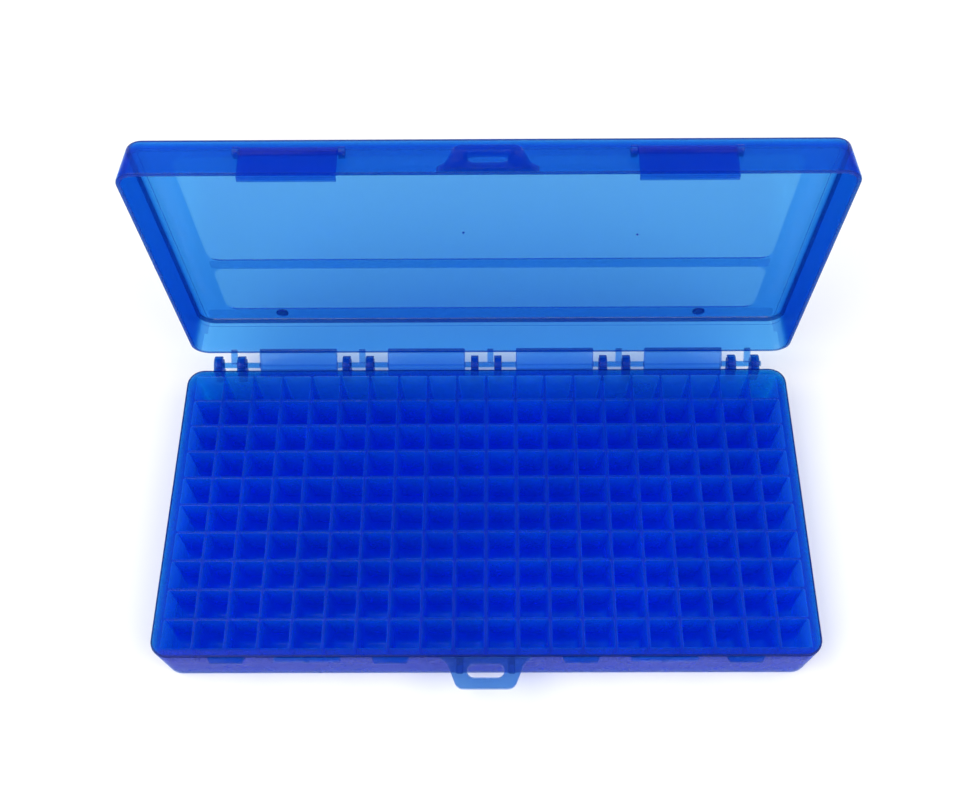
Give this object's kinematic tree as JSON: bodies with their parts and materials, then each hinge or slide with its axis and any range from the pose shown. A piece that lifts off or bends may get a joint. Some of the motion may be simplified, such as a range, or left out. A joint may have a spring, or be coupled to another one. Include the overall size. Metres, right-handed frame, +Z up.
{
  "type": "divided storage box",
  "caption": "Shallow translucent plastic box with a grid of open square cells, a hinged see-through lid, two snap latches and a slotted front tab.",
  "frame": {"origin": "centre of the underside of the base tray, on the surface it stands on", "axes": "+Z up, +Y towards the hinge, +X along the length, to the right when the front tab faces the user"},
  "size_m": [0.2594, 0.1635, 0.1656],
  "materials": {
    "base_plastic": "translucent royal blue, satin moulded surface",
    "lid_plastic": "translucent royal blue, clearer over the thin panel",
    "latch_plastic": "translucent royal blue, satin"
  },
  "bodies": {
    "base": {"base_walls": "base_plastic", "base_floor": "base_plastic", "row_dividers": "base_plastic", "column_dividers": "base_plastic", "base_tab": "base_plastic", "tab_gussets": "base_plastic", "rim_ledges": "base_plastic", "catch_pads": "base_plastic", "catch_nibs": "base_plastic", "hinge_clips": "base_plastic"},
    "lid": {"lid_walls": "lid_plastic", "lid_panel": "lid_plastic", "panel_bosses": "lid_plastic", "lid_tab": "lid_plastic", "hinge_leaves": "lid_plastic", "hinge_rods": "lid_plastic", "rod_webs": "lid_plastic", "latch_ears": "lid_plastic"},
    "latch_left": {"latch_left": "latch_plastic"},
    "latch_right": {"latch_right": "latch_plastic"}
  },
  "joints": [
    {"name": "lid_hinge", "type": "hinge", "parent": "base", "child": "lid", "pos_m": [0.0018, 0.06848, 0.02103], "axis": [1, 0, 0], "range_deg": [0, 86.4]},
    {"name": "latch_left_pivot", "type": "hinge", "parent": "lid", "child": "latch_left", "pos_m": [-0.0664, 0.07186, 0.15516], "axis": [1, 0, 0], "range_deg": [-95, 0]},
    {"name": "latch_right_pivot", "type": "hinge", "parent": "lid", "child": "latch_right", "pos_m": [0.07, 0.07186, 0.15516], "axis": [1, 0, 0], "range_deg": [-95, 0]}
  ]
}
